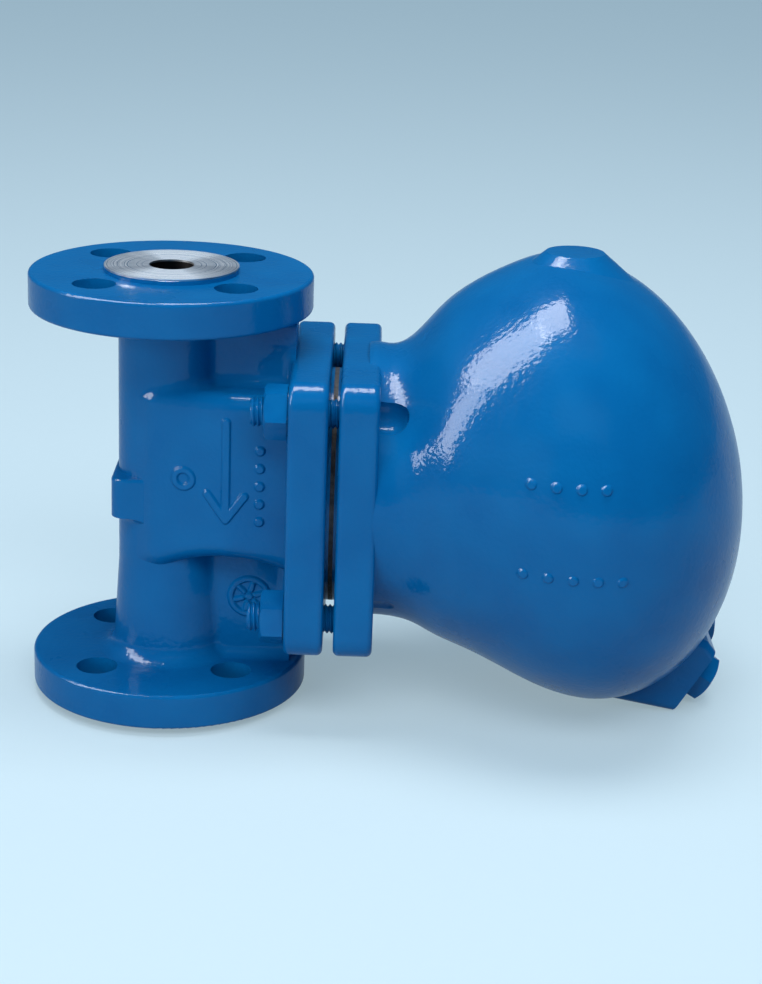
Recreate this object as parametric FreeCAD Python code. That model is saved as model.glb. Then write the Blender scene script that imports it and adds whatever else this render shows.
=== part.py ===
"""Ball float steam trap, DN 15 PN 16, for a vertical pipe: condensate enters the top flange,
fills the hood, lifts the float and leaves through the bottom flange.

Sizes are in millimetres. Shapes are drawn about the crossing of the pipe axis (Z) and the hood
axis (X), and lifted at export, so the part's origin is the centre of the outlet flange's face.
"""
import FreeCAD, Part
import math
import os
from FreeCAD import Placement, Rotation, Vector

# ---- pipe connection: EN 1092 PN 16 flanges, face to face as for DN 15 traps ----
face_to_face = 150.0
flange_od = 95.0
flange_thickness = 14.0          # with the raised face
raised_face_od = 45.0
raised_face_height = 2.0
flange_bolt_circle = 65.0
outlet_bolt_hole = 14.0
inlet_bolt_hole = 14.32          # drilled wider inside the H14 limits of 14 mm
flange_bolt_count = 4
flange_edge = 1.2                # rounded rim
pipe_bore = 15.0                 # turned out as deep as the flange is thick
core_r = 8.5                     # cast passages behind both bores

# ---- body casting ----
tube_r = 17.8                    # vertical tube between the flanges
tube_flare_z = -28.0             # below this it widens
tube_flare = 1.6                 # by this much in radius at the outlet flange
neck_fillet = 6.0
chamber_half_width = 25.5        # inlet chamber, outside
chamber_shoulder_x = 22.0        # from here to the plate the chamber's sides are parallel
chamber_cheek = (5.71, 5.119)    # its side swells past the tube, from where it begins to here
chamber_cheek_r = 10.0
chamber_swell_angle = 125.0      # degrees from the hood's side round to where the swell begins
chamber_below_plate = 10.0       # its top, below the top of the plate
chamber_bottom = -36.0
chamber_edge = 5.0
chamber_shoulder = 15.0
chamber_wall = 7.0
chamber_room_corner = 10.0
arch_r = 45.0                    # relief under the chamber
arch_x = 22.0
arch_top = -20.6
arch_edge = 6.0
web_half = 10.0                  # webs from the chamber to both flanges
casting_fillet = 4.0             # in the casting's inner corners
web_rim_gap = 5.0                # the upper web ends this far inside the inlet flange's rim
web_on_plate = 3.0               # and this far below the top of the plate
back_boss_inset = 0.8            # block on the back of the tube: its ends, inside the tube's sides
back_boss_stand = 1.2            # its face, beyond the tube
back_boss_top = 4.4
back_boss_bottom = -9.5
back_boss_flat = 12.0            # half the width of its face, between the round corners
back_boss_edge = 1.2
back_boss_fillet = 3.5

# ---- joint between body and hood ----
plate_x = 41.4                   # back of the body's plate
plate_t = 13.0
plate_half = 47.0
plate_corner = 8.0
plate_edge = 2.0
joint_face_r = 40.0
joint_bore_r = 36.0
joint_face_h = 1.0
joint_gasket_t = 1.5
stud_spread = 35.7               # studs stand at plus and minus this in Y and Z
stud_d = 10.0
stud_hole_d = 11.0
stud_tail = 4.4                  # stud showing past the nut
nut_af = 16.0
nut_h = 8.0
thread_gap = 0.05

# ---- hood casting ----
hood_wall = 7.0
hood_neck_r = 46.7
hood_neck_rise = 2.4             # the neck's centre above the joint's
hood_bulb_r = 75.4               # the bulb is an ellipsoid: across the hood axis
hood_bulb_length = 57.4          # and along it, both as half axes
hood_bulb_x = 138.6
hood_bulb_rise = 5.8
hood_bulb_lean = -0.197          # fall of the section centres per length
hood_bulb_angles = (-13, 8, 28, 46, 62, 76)   # its sections, degrees from the middle to the tip
hood_flank = [(-4, 0, 0), (3, 0, 0), (7, 0.2, 0.6), (13, 1.9, 3.7), (21, 4.5, 10.1), (32, 6.5, 16.5),
              (43, 6.8, 21.9)]   # from the plate: distance, rise of the centre, growth of the radius
hood_bore_length = 24.0          # straight bore behind the joint face
pocket_r = 6.5                   # pocket in the neck behind each stud
pocket_length = 3.0
pad_before = 4.6                 # the pad stands this far before the bulb's middle
top_pad_r = 9.8
pad_above = 2.8                  # and its face this far above the bulb
top_pad_h = 11.0
top_pad_slope = 40.0             # degrees
drain_half_width = 14.0
drain_tilt = 31.0                # the drain faces this far below the hood axis, degrees
drain_behind = 45.2              # its face's centre from the bulb's middle, along the hood axis
drain_above = 5.4                # and above the bulb's lowest point
drain_face_half = 13.1
drain_chamfer = 4.0
drain_depth = 24.0               # block behind the machined face
drain_heel_behind = 8.0          # where the block runs into the underside of the bulb
drain_heel_above = -0.3
drain_root_above = 19.6
drain_edge = 3.0
balance_boss_r = 12.0
balance_boss_length = 34.0
balance_y = 34.0
balance_above = 11.1
balance_behind = 50.4

# ---- plugs ----
plug_af = 16.0
plug_head = 6.0
plug_thread_d = 14.0
plug_thread_length = 11.0
plug_hole_length = 26.0          # drilled through the boss into the float chamber
plug_ring_t = 1.2
plug_ring_r = 9.4
plug_turn = 18.0

# ---- control unit on the body's inner face ----
seat_z = -20.0
carrier_gasket_t = 0.8
carrier_t = 8.0
carrier_end_r = 8.0
carrier_screw_y = 18.0
carrier_screw_d = 6.0
carrier_screw_depth = 9.0
carrier_screw_af = 10.0
carrier_screw_head = 4.0
carrier_screw_turns = (30.0, 50.0)
passage_r = 5.0                  # from the seat through the body to the outlet
seat_boss_r = 11.0
seat_boss_length = 6.0
seat_thread_d = 14.0
seat_thread_length = 8.0
seat_ring_t = 0.5
seat_af = 17.0
seat_head = 4.0
seat_turn = 30.0
channel_plug_length = 4.0
orifice_r = 2.75
ball_r = 5.5
ball_gap = 0.1                   # ball to seat, and ball to its socket
cheek_inner = 7.5
cheek_t = 3.0
cheek_r = 5.2
pivot_reach = 6.5                # pivot in front of the seat's face
pivot_z = -4.0
pivot_d = 5.0
running_gap = 0.05
clip_t = 0.6
clip_r = 4.3
clip_groove_r = 1.9

# ---- lever and float ----
float_behind = 1.4               # closed, the float's centre is this far behind the bulb's middle
float_r = 34.0
float_to_wall = 7.9              # closed, the weld bead's lowest point above the chamber's floor
float_wall = 1.2
weld_width = 1.6
weld_crown = 0.7
lever_hub_r = 5.0
lever_half = 4.0
lever_boss_r = 5.4
rod_showing = 3.2                # rod between the locknut and the float's socket
rod_d = 6.0
rod_in_lever = 9.0
locknut_af = 10.0
locknut_h = 3.2
socket_r = 6.0
socket_out = 2.5
socket_in = 8.0

# ---- thermostatic air vent ----
vent_z = 18.0
riser_half = 6.0
riser_t = 7.0
riser_channel_r = 1.75
vent_head_r = 9.0
vent_head_length = 11.0
vent_thread_r = 5.0
vent_thread_length = 5.0
vent_seat_head_r = 6.0
vent_seat_head = 2.5
vent_orifice_r = 1.5
cage_r = 13.3
cage_wall = 0.8
cage_length = 14.0
capsule_r = 12.2
capsule_t = 7.0
capsule_wall = 0.9
capsule_gap = 2.2                # from the vent seat's face to the capsule
membrane_t = 0.4
vent_plug_r = 2.4
vent_stem_r = 1.5
vent_lift = 1.0                  # vent plug to seat when cold

X = Vector(1, 0, 0)
Y = Vector(0, 1, 0)
Z = Vector(0, 0, 1)

half_length = face_to_face / 2
flange_r = flange_od / 2
bore_r = pipe_bore / 2
tube_foot_r = tube_r + tube_flare
back_boss_half = tube_r - back_boss_inset
back_boss_corner = back_boss_half - back_boss_flat
back_boss_x = -(tube_r + back_boss_stand)
chamber_top = plate_half - chamber_below_plate
body_face_x = plate_x + plate_t
hood_plate_x = body_face_x + 2 * joint_face_h + joint_gasket_t
hood_back_x = hood_plate_x + plate_t
seat_face_x = body_face_x + carrier_gasket_t + carrier_t + seat_boss_length + seat_ring_t + seat_head
ball_x = seat_face_x + math.sqrt(ball_r ** 2 - orifice_r ** 2) + ball_gap
pivot = Vector(seat_face_x + pivot_reach, 0, pivot_z)
chamber_floor_z = hood_bulb_rise - (hood_bulb_r - hood_wall)
float_centre = Vector(hood_bulb_x + float_behind, 0,
                      chamber_floor_z + float_to_wall + weld_crown + float_r)
arm = (float_centre - pivot).normalize()
arm_length = (float_centre - pivot).Length
lever_boss_end = arm_length - float_r - socket_out - rod_showing - locknut_h
bulb_low_z = hood_bulb_rise - hood_bulb_r
pad_face = Vector(hood_bulb_x - pad_before, 0, hood_bulb_rise + hood_bulb_r + pad_above)
drain_face = Vector(hood_bulb_x + drain_behind, 0, bulb_low_z + drain_above)
balance_face = Vector(hood_bulb_x + balance_behind, balance_y, bulb_low_z + balance_above)


def cylinder(radius, length, start, axis):
    return Part.makeCylinder(radius, length, start, axis)


def ring(outer_r, inner_r, length, start, axis):
    return cylinder(outer_r, length, start, axis).cut(cylinder(inner_r, length, start, axis))


def box(x0, x1, y0, y1, z0, z1):
    return Part.makeBox(x1 - x0, y1 - y0, z1 - z0, Vector(x0, y0, z0))


def revolve(points, axis_point, axis):
    """Solid of revolution of a closed polygon of points."""
    face = Part.Face(Part.makePolygon(points + [points[0]]))
    return face.revolve(axis_point, axis, 360)


def along(axis, start, turn=0.0):
    """Placement that takes local Z to axis and local origin to start."""
    return Placement(start, Rotation(Z, axis).multiply(Rotation(Z, turn)))


def hexagon(across_flats, length, start, axis, turn=0.0, chamfer_far=True, chamfer_near=False):
    """Hexagonal prism with its corners turned off at 30 degrees, as on nuts and bolt heads."""
    corner = across_flats / math.sqrt(3)
    points = [Vector(corner * math.cos(math.radians(60 * i)), corner * math.sin(math.radians(60 * i)), 0)
              for i in range(6)]
    prism = Part.Face(Part.makePolygon(points + [points[0]])).extrude(Vector(0, 0, length))
    drop = (corner - across_flats / 2 * 0.97) * math.tan(math.radians(30))
    flat = across_flats / 2 * 0.97
    low = [Vector(0, 0, 0), Vector(flat, 0, 0), Vector(corner, 0, drop)] if chamfer_near \
        else [Vector(0, 0, 0), Vector(corner, 0, 0)]
    high = [Vector(corner, 0, length - drop), Vector(flat, 0, length), Vector(0, 0, length)] if chamfer_far \
        else [Vector(corner, 0, length), Vector(0, 0, length)]
    solid = prism.common(revolve(low + high, Vector(0, 0, 0), Z))
    solid.Placement = along(axis, start, turn)
    return solid


def fillet(shape, radius, wanted):
    """Rounds the edges for which wanted(centre, edge) is true."""
    edges = [edge for edge in shape.Edges if wanted(edge.CenterOfMass, edge)]
    return shape.makeFillet(radius, edges)


def is_line(edge):
    return edge.Curve.TypeId == "Part::GeomLine"


def stud_places():
    return [(sy * stud_spread, sz * stud_spread) for sy in (-1, 1) for sz in (-1, 1)]


def pipe_column():
    """Vertical tube with both flanges and the fillets between them, as one turned form."""
    raised_r = raised_face_od / 2
    back_z = half_length - flange_thickness
    rim_z = half_length - raised_face_height

    def arc(p0, pm, p1):
        return Part.Arc(Vector(p0[0], 0, p0[1]), Vector(pm[0], 0, pm[1]), Vector(p1[0], 0, p1[1])).toShape()

    def line(p0, p1):
        return Part.makeLine(Vector(p0[0], 0, p0[1]), Vector(p1[0], 0, p1[1]))

    def flange_edges(side, root_r):
        """Edges from the axis at the gasket face round the rim to the tube, side is +1 or -1."""
        e = flange_edge
        q = e * (1 - math.sqrt(0.5))
        f = neck_fillet
        g = f * (1 - math.sqrt(0.5))
        return [line((0, side * half_length), (raised_r, side * half_length)),
                line((raised_r, side * half_length), (raised_r, side * rim_z)),
                line((raised_r, side * rim_z), (flange_r - e, side * rim_z)),
                arc((flange_r - e, side * rim_z), (flange_r - q, side * (rim_z - q)),
                    (flange_r, side * (rim_z - e))),
                line((flange_r, side * (rim_z - e)), (flange_r, side * (back_z + e))),
                arc((flange_r, side * (back_z + e)), (flange_r - q, side * (back_z + q)),
                    (flange_r - e, side * back_z)),
                line((flange_r - e, side * back_z), (root_r + f, side * back_z)),
                arc((root_r + f, side * back_z), (root_r + g, side * (back_z - g)),
                    (root_r, side * (back_z - f)))]

    top = flange_edges(1, tube_r)
    bottom = flange_edges(-1, tube_foot_r)
    tube = [line((tube_r, back_z - neck_fillet), (tube_r, tube_flare_z)),
            line((tube_r, tube_flare_z), (tube_foot_r, -(back_z - neck_fillet))),
            line((0, -half_length), (0, half_length))]
    wire = Part.Wire(Part.__sortEdges__(top + bottom + tube))
    return Part.Face(wire).revolve(Vector(0, 0, 0), Z, 360)


def back_boss():
    block = box(back_boss_x, 0, -back_boss_half, back_boss_half, back_boss_bottom, back_boss_top)
    block = fillet(block, back_boss_corner, lambda c, e: is_line(e) and abs(e.tangentAt(0).z) > 0.9
                   and c.x < back_boss_x + 0.1)
    return fillet(block, back_boss_edge, lambda c, e: c.x < 0 and abs(c.z - back_boss_top) < 0.1)


def joint_plate(x0):
    """Square plate with round corners, at x0."""
    plate = box(x0, x0 + plate_t, -plate_half, plate_half, -plate_half, plate_half)
    plate = fillet(plate, plate_corner, lambda c, e: is_line(e) and abs(e.tangentAt(0).x) > 0.9)
    return fillet(plate, plate_edge, lambda c, e: abs(e.tangentAt(e.FirstParameter).x) < 0.1)


def chamber_shell():
    """Outside of the inlet chamber: it swells out of the tube on both sides and runs into the plate."""
    swell = math.radians(chamber_swell_angle)
    start_x, start_y = tube_r * math.cos(swell), tube_r * math.sin(swell)
    cheek_x = start_x + chamber_cheek[0]
    half = [(start_x, start_y), (cheek_x, start_y + chamber_cheek[1]),
            (chamber_shoulder_x, chamber_half_width), (plate_x + 1, chamber_half_width)]
    outline = half + [(x, -y) for x, y in reversed(half)]
    points = [Vector(x, y, chamber_bottom) for x, y in outline]
    height = chamber_top - chamber_bottom
    prism = Part.Face(Part.makePolygon(points + [points[0]])).extrude(Z * height)
    prism = fillet(prism, chamber_shoulder, lambda c, e: is_line(e) and abs(e.tangentAt(0).z) > 0.9
                   and abs(c.x - chamber_shoulder_x) < 0.1)
    prism = fillet(prism, chamber_cheek_r, lambda c, e: is_line(e) and abs(e.tangentAt(0).z) > 0.9
                   and abs(c.x - cheek_x) < 0.1)
    prism = fillet(prism, chamber_edge, lambda c, e: abs(c.z - chamber_top) < 0.01 and abs(c.y) > 1
                   and start_x + 0.5 < c.x < plate_x)
    relief = cylinder(arch_r, 2 * plate_half, Vector(arch_x, -plate_half, arch_top - arch_r), Y)
    prism = prism.cut(relief)
    return fillet(prism, arch_edge, lambda c, e: abs(c.y) > web_half and c.z < arch_top + 1 and not is_line(e))


def upper_web():
    """Web in the middle plane from the chamber's top to the inlet flange, its free edge leaning out
    from the plate to the flange's rim."""
    flange_back_z = half_length - flange_thickness
    profile = [(0, chamber_top - 1), (plate_x + 1, chamber_top - 1), (plate_x + 1, plate_half - web_on_plate),
               (flange_r - web_rim_gap, flange_back_z), (flange_r - web_rim_gap, flange_back_z + 1),
               (0, flange_back_z + 1)]
    points = [Vector(x, -web_half, z) for x, z in profile]
    return Part.Face(Part.makePolygon(points + [points[0]])).extrude(Y * 2 * web_half)


def on_tube(edge):
    return all(abs(math.hypot(v.X, v.Y) - tube_r) < 0.01 for v in edge.Vertexes)


def inner_corner(centre, edge):
    """Concave edges of the casting: along both webs, and where the chamber's top runs into the tube."""
    along_web = abs(abs(centre.y) - web_half) < 0.01 and centre.x < plate_x + 0.01
    return along_web or (on_tube(edge) and chamber_top - chamber_edge < centre.z < chamber_top + 0.01)


def body_casting():
    column = pipe_column().fuse(back_boss())
    column = fillet(column, back_boss_fillet, lambda c, e: abs(c.z - back_boss_bottom) < 0.01 and on_tube(e))
    outside = column.fuse([joint_plate(plate_x), chamber_shell(), upper_web(),
                           box(0, plate_x + 1, -web_half, web_half,
                               -half_length + flange_thickness - 1, arch_top + arch_edge),
                           cylinder(joint_face_r, joint_face_h, Vector(body_face_x, 0, 0), X)])
    outside = fillet(outside.removeSplitter(), casting_fillet, inner_corner)
    inner_half = chamber_half_width - chamber_wall
    floor_z = seat_z + passage_r + chamber_wall
    core_length = half_length - flange_thickness
    room = box(core_r / 2, body_face_x + joint_face_h, -inner_half, inner_half,
               floor_z, chamber_top - chamber_wall)
    room = fillet(room, chamber_room_corner, lambda c, e: is_line(e) and abs(e.tangentAt(0).x) > 0.9)
    holes = [cylinder(bore_r, flange_thickness, Vector(0, 0, side * half_length), Z * -side)
             for side in (-1, 1)]
    holes += [cylinder(core_r, core_length - floor_z, Vector(0, 0, floor_z), Z),
             room,
             cylinder(core_r, core_length + seat_z + passage_r, Vector(0, 0, -core_length), Z),
             cylinder(passage_r, body_face_x, Vector(0, 0, seat_z), X),
             cylinder(joint_bore_r, joint_face_h, Vector(body_face_x, 0, 0), X)]
    holes += [cylinder(stud_hole_d / 2, plate_t, Vector(plate_x, y, z), X) for y, z in stud_places()]
    holes += [cylinder(carrier_screw_d / 2 + thread_gap, carrier_screw_depth,
                       Vector(body_face_x - carrier_screw_depth, side * carrier_screw_y, seat_z), X)
              for side in (-1, 1)]
    holes += flange_holes()
    return outside.cut(holes)


def flange_holes():
    cutters = []
    for z, hole in ((-half_length, outlet_bolt_hole), (half_length - flange_thickness, inlet_bolt_hole)):
        for i in range(flange_bolt_count):
            angle = math.radians(45 + 360 / flange_bolt_count * i)
            place = Vector(math.cos(angle), math.sin(angle), 0) * (flange_bolt_circle / 2) + Z * z
            cutters.append(cylinder(hole / 2, flange_thickness, place, Z))
    return cutters


def hood_sections(wall):
    """Circles across the hood axis that shape the hood, drawn in by wall: distance along the axis,
    height of the centre, radius. The bulb's are those of an ellipsoid whose centres fall to the end."""
    sections = [(hood_back_x + distance, hood_neck_rise + rise, hood_neck_r + growth - wall)
                for distance, rise, growth in hood_flank]
    for degrees in hood_bulb_angles:
        along_x = (hood_bulb_length - wall) * math.sin(math.radians(degrees))
        sections.append((hood_bulb_x + along_x, hood_bulb_rise + hood_bulb_lean * along_x,
                         (hood_bulb_r - wall) * math.cos(math.radians(degrees))))
    return sections


def hood_loft(sections, wall):
    wires = [Part.Wire(Part.makeCircle(r, Vector(x, 0, z), X)) for x, z, r in sections]
    reach = hood_bulb_length - wall
    tip = Part.Vertex(Vector(hood_bulb_x + reach, 0, hood_bulb_rise + hood_bulb_lean * reach))
    return Part.makeLoft(wires + [tip], True, False)


def hood_cavity():
    """Float chamber: a straight bore behind the joint face that opens into the bulb."""
    bore_end = hood_plate_x + hood_bore_length
    bore = cylinder(joint_bore_r, bore_end - hood_plate_x + joint_face_h,
                    Vector(hood_plate_x - joint_face_h, 0, 0), X)
    wide = [section for section in hood_sections(hood_wall) if section[0] > bore_end + hood_wall]
    return [bore, hood_loft([(bore_end, 0, joint_bore_r)] + wide, hood_wall)]


def drain_axis():
    tilt = math.radians(drain_tilt)
    return Vector(math.cos(tilt), 0, -math.sin(tilt))


def drain_boss():
    """Block boss under the end of the bulb, its machined face square to the drain axis."""
    n = drain_axis()
    t = Vector(-n.z, 0, n.x)
    face = drain_face - Y * drain_half_width
    low = face - t * drain_face_half
    high = face + t * drain_face_half
    shoulder = high + t * drain_chamfer * 0.4
    heel_x = hood_bulb_x + drain_heel_behind
    points = [low, high, shoulder - n * drain_chamfer, shoulder - n * drain_depth,
              Vector(heel_x, -drain_half_width, bulb_low_z + drain_root_above),
              Vector(heel_x, -drain_half_width, bulb_low_z + drain_heel_above)]
    block = Part.Face(Part.makePolygon(points + [points[0]])).extrude(Vector(0, 2 * drain_half_width, 0))
    return block.makeFillet(drain_edge, [e for e in block.Edges if is_line(e)
                                  and abs(e.tangentAt(0).dot(n)) > 0.6 and abs(e.CenterOfMass.y) > 1])


def stud_pockets():
    cutters = []
    for y, z in stud_places():
        start = Vector(hood_back_x, y, z)
        cutters.append(cylinder(pocket_r, pocket_length, start, X))
        cutters.append(Part.makeSphere(pocket_r, start + X * pocket_length, X))
    return cutters


def hood_casting():
    pad_base_r = top_pad_r + top_pad_h / math.tan(math.radians(top_pad_slope))
    outside = hood_loft(hood_sections(0.0), 0.0).fuse([
        Part.makeCone(pad_base_r, top_pad_r, top_pad_h, pad_face - Z * top_pad_h, Z),
        drain_boss(),
        cylinder(balance_boss_r, balance_boss_length, balance_face, -X)])
    outside = outside.cut(stud_pockets())
    joint_face = cylinder(joint_face_r, joint_face_h, Vector(hood_plate_x - joint_face_h, 0, 0), X)
    outside = outside.fuse([joint_plate(hood_plate_x), joint_face])
    thread_r = plug_thread_d / 2 + thread_gap
    holes = hood_cavity()
    holes += [cylinder(thread_r, plug_hole_length, drain_face, drain_axis() * -1),
              cylinder(thread_r, plug_hole_length, balance_face, -X)]
    holes += [cylinder(stud_d / 2 + thread_gap, plate_t, Vector(hood_plate_x, y, z), X)
              for y, z in stud_places()]
    return outside.cut(holes)


def hood_gasket():
    return ring(joint_face_r, joint_bore_r, joint_gasket_t, Vector(body_face_x + joint_face_h, 0, 0), X)


def hood_studs():
    length = hood_back_x - 0.5 - (plate_x - nut_h - stud_tail)
    studs = []
    for y, z in stud_places():
        stud = cylinder(stud_d / 2, length, Vector(plate_x - nut_h - stud_tail, y, z), X)
        ends = [e for e in stud.Edges if not is_line(e)]
        studs.append(stud.makeChamfer(0.8, ends))
    return Part.makeCompound(studs)


def hood_nuts():
    nuts = []
    for y, z in stud_places():
        nut = hexagon(nut_af, nut_h - 0.4, Vector(plate_x - 0.4, y, z), -X, nut_turn(y, z))
        nut = nut.fuse(cylinder(nut_af / 2 * 0.94, 0.4, Vector(plate_x, y, z), -X)).removeSplitter()
        nuts.append(nut.cut(cylinder(stud_d / 2 + thread_gap, nut_h, Vector(plate_x, y, z), -X)))
    return Part.makeCompound(nuts)


def nut_turn(y, z):
    """Each nut stops at its own angle."""
    return 7 + (11 if y > 0 else 0) + (17 if z > 0 else 0)


def hexagon_plug(start, axis, turn):
    head = hexagon(plug_af, plug_head, start + axis * plug_ring_t, axis, turn)
    shank = cylinder(plug_thread_d / 2, plug_thread_length + plug_ring_t,
                     start - axis * plug_thread_length, axis)
    return head.fuse(shank)


def plug_ring(start, axis):
    return ring(plug_ring_r, plug_thread_d / 2 + thread_gap, plug_ring_t, start, axis)


def stadium(half_spread, end_r, thickness, start):
    """Flat plate with round ends, across X."""
    middle = box(start.x, start.x + thickness, -half_spread, half_spread, start.z - end_r, start.z + end_r)
    ends = [cylinder(end_r, thickness, start + Y * side * half_spread, X) for side in (-1, 1)]
    return middle.fuse(ends).removeSplitter()


def carrier_screw_places(x):
    return [Vector(x, side * carrier_screw_y, seat_z) for side in (-1, 1)]


def carrier_gasket():
    gasket = stadium(carrier_screw_y, carrier_end_r, carrier_gasket_t, Vector(body_face_x, 0, seat_z))
    holes = [cylinder(passage_r, carrier_gasket_t, Vector(body_face_x, 0, seat_z), X)]
    holes += [cylinder(carrier_screw_d / 2 + 0.3, carrier_gasket_t, p, X)
              for p in carrier_screw_places(body_face_x)]
    return gasket.cut(holes)


def control_carrier():
    """Casting that holds both seats: a foot on the body, a boss for the valve seat, a drilled riser up
    to the air vent's head, and two cheeks for the lever's pivot."""
    back_x = body_face_x + carrier_gasket_t
    front_x = back_x + carrier_t
    boss_x = front_x + seat_boss_length
    foot = stadium(carrier_screw_y, carrier_end_r, carrier_t, Vector(back_x, 0, seat_z))
    cheeks = []
    for side in (-1, 1):
        y = side * (cheek_inner + cheek_t / 2)
        arm_box = box(back_x + riser_t - 1, pivot.x, y - cheek_t / 2, y + cheek_t / 2,
                      pivot_z - cheek_r, pivot_z + cheek_r)
        cheeks += [arm_box, cylinder(cheek_r, cheek_t, Vector(pivot.x, y - cheek_t / 2, pivot_z), Y)]
    riser = box(back_x, back_x + riser_t, -riser_half, riser_half, seat_z, vent_z)
    bridge = box(back_x, back_x + riser_t, -cheek_inner - cheek_t, cheek_inner + cheek_t,
                 seat_z, pivot_z + cheek_r)
    solid = foot.fuse([cylinder(seat_boss_r, boss_x - back_x, Vector(back_x, 0, seat_z), X), riser, bridge,
                       cylinder(vent_head_r, vent_head_length, Vector(back_x, 0, vent_z), X)] + cheeks)
    channel_x = back_x + riser_t / 2
    channel_top = vent_z + vent_head_r
    holes = [cylinder(passage_r, boss_x - back_x - seat_thread_length, Vector(back_x, 0, seat_z), X),
             cylinder(seat_thread_d / 2 + thread_gap, seat_thread_length,
                      Vector(boss_x - seat_thread_length, 0, seat_z), X),
             cylinder(riser_channel_r, channel_top - seat_z, Vector(channel_x, 0, seat_z), Z),
             cylinder(vent_orifice_r + 1, vent_head_length - vent_thread_length - riser_t / 2,
                      Vector(channel_x, 0, vent_z), X),
             cylinder(vent_thread_r + thread_gap, vent_thread_length,
                      Vector(back_x + vent_head_length - vent_thread_length, 0, vent_z), X),
             cylinder(pivot_d / 2 + thread_gap / 5, 4 * cheek_inner,
                      Vector(pivot.x, -2 * cheek_inner, pivot_z), Y)]
    holes += [cylinder(carrier_screw_d / 2 + 0.3, carrier_t, p, X) for p in carrier_screw_places(back_x)]
    return solid.cut(holes).removeSplitter()


def carrier_screws():
    head_x = body_face_x + carrier_gasket_t + carrier_t
    length = carrier_t + carrier_gasket_t + carrier_screw_depth - 1
    screws = []
    for turn, place in zip(carrier_screw_turns, carrier_screw_places(head_x)):
        head = hexagon(carrier_screw_af, carrier_screw_head, place, X, turn)
        screws.append(head.fuse(cylinder(carrier_screw_d / 2, length, place - X * length, X)))
    return Part.makeCompound(screws)


def valve_seat():
    """Screwed seat: hexagon head with a coned lip round the orifice."""
    head_x = seat_face_x - seat_head
    boss_x = head_x - seat_ring_t
    head = hexagon(seat_af, seat_head, Vector(head_x, 0, seat_z), X, seat_turn)
    shank = cylinder(seat_thread_d / 2, seat_thread_length + seat_ring_t,
                     Vector(boss_x - seat_thread_length, 0, seat_z), X)
    seat = head.fuse(shank)
    depth = seat_face_x - boss_x + seat_thread_length
    return seat.cut([cylinder(orifice_r, depth, Vector(seat_face_x - depth, 0, seat_z), X)])


def valve_seat_ring():
    return ring(seat_af / 2, seat_thread_d / 2 + thread_gap, seat_ring_t,
                Vector(seat_face_x - seat_head - seat_ring_t, 0, seat_z), X)


def valve_ball():
    return Part.makeSphere(ball_r, Vector(ball_x, 0, seat_z))


def on_arm(distance):
    """Point on the line from the pivot to the float's centre."""
    return pivot + arm * distance


def valve_lever():
    """Bell-crank lever: hub on the pivot, leg down to the ball's cup, and boss towards the float."""
    cup_x = ball_x - ball_r * 0.26
    cup_r = ball_r + 1.5
    cup_end = ball_x + ball_r + 1.5
    cup = cylinder(cup_r, cup_end - cup_x, Vector(cup_x, 0, seat_z), X)
    outline = [(pivot.x - lever_half, pivot_z), (pivot.x + lever_hub_r, pivot_z), (cup_end, seat_z),
               (ball_x, seat_z)]
    leg_points = [Vector(x, -lever_half, z) for x, z in outline]
    leg = Part.Face(Part.makePolygon(leg_points + [leg_points[0]])).extrude(Vector(0, 2 * lever_half, 0))
    hub = cylinder(lever_hub_r, 2 * (cheek_inner - 0.3), pivot - Y * (cheek_inner - 0.3), Y)
    boss = cylinder(lever_boss_r, lever_boss_end, pivot, arm)
    solid = hub.fuse([leg, cup, boss])
    rod_hole = cylinder(rod_d / 2 + thread_gap, rod_in_lever, on_arm(lever_boss_end - rod_in_lever), arm)
    return solid.cut([cylinder(pivot_d / 2 + running_gap, 2 * cheek_inner, pivot - Y * cheek_inner, Y),
                      Part.makeSphere(ball_r + ball_gap, Vector(ball_x, 0, seat_z)), rod_hole])


def pivot_pin():
    groove_y = cheek_inner + cheek_t + 0.05
    half = groove_y + clip_t + 1.4
    pin = cylinder(pivot_d / 2, 2 * half, pivot - Y * half, Y)
    pin = pin.makeChamfer(0.4, [e for e in pin.Edges if not is_line(e)])
    for side in (-1, 1):
        start = pivot + Y * (side * groove_y if side > 0 else -groove_y - clip_t)
        pin = pin.cut(ring(pivot_d, clip_groove_r, clip_t, start, Y))
    return pin


def pivot_clips():
    groove_y = cheek_inner + cheek_t + 0.05
    clips = []
    for side in (-1, 1):
        start = pivot + Y * (groove_y if side > 0 else -groove_y - clip_t)
        clip = ring(clip_r, clip_groove_r + 0.02, clip_t, start, Y)
        mouth = box(pivot.x, pivot.x + 2 * clip_r, start.y, start.y + clip_t,
                    pivot_z - clip_groove_r * 0.8, pivot_z + clip_groove_r * 0.8)
        clips.append(clip.cut(mouth))
    return Part.makeCompound(clips)


def float_rod():
    start = lever_boss_end - rod_in_lever + 0.5
    end = arm_length - float_r + socket_in - 1.5
    return cylinder(rod_d / 2, end - start, on_arm(start), arm)


def float_locknut():
    nut = hexagon(locknut_af, locknut_h, on_arm(lever_boss_end), arm, 10, True, True)
    return nut.cut(cylinder(rod_d / 2 + thread_gap, locknut_h, on_arm(lever_boss_end), arm))


def float_socket():
    start = arm_length - float_r - socket_out
    socket = cylinder(socket_r, socket_out + socket_in, on_arm(start), arm)
    return socket.cut(cylinder(rod_d / 2 + thread_gap, socket_out + socket_in - 1, on_arm(start), arm))


def float_shell(side):
    """One pressed half of the float; side is -1 for the half towards the lever."""
    shell = Part.makeSphere(float_r, float_centre).cut(Part.makeSphere(float_r - float_wall, float_centre))
    keep = cylinder(float_r + 1, float_r + 1, float_centre + arm * side * weld_width / 2, arm * side)
    shell = shell.common(keep)
    if side < 0:
        shell = shell.cut(cylinder(socket_r, 2 * float_r, on_arm(0), arm))
    return shell


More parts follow.
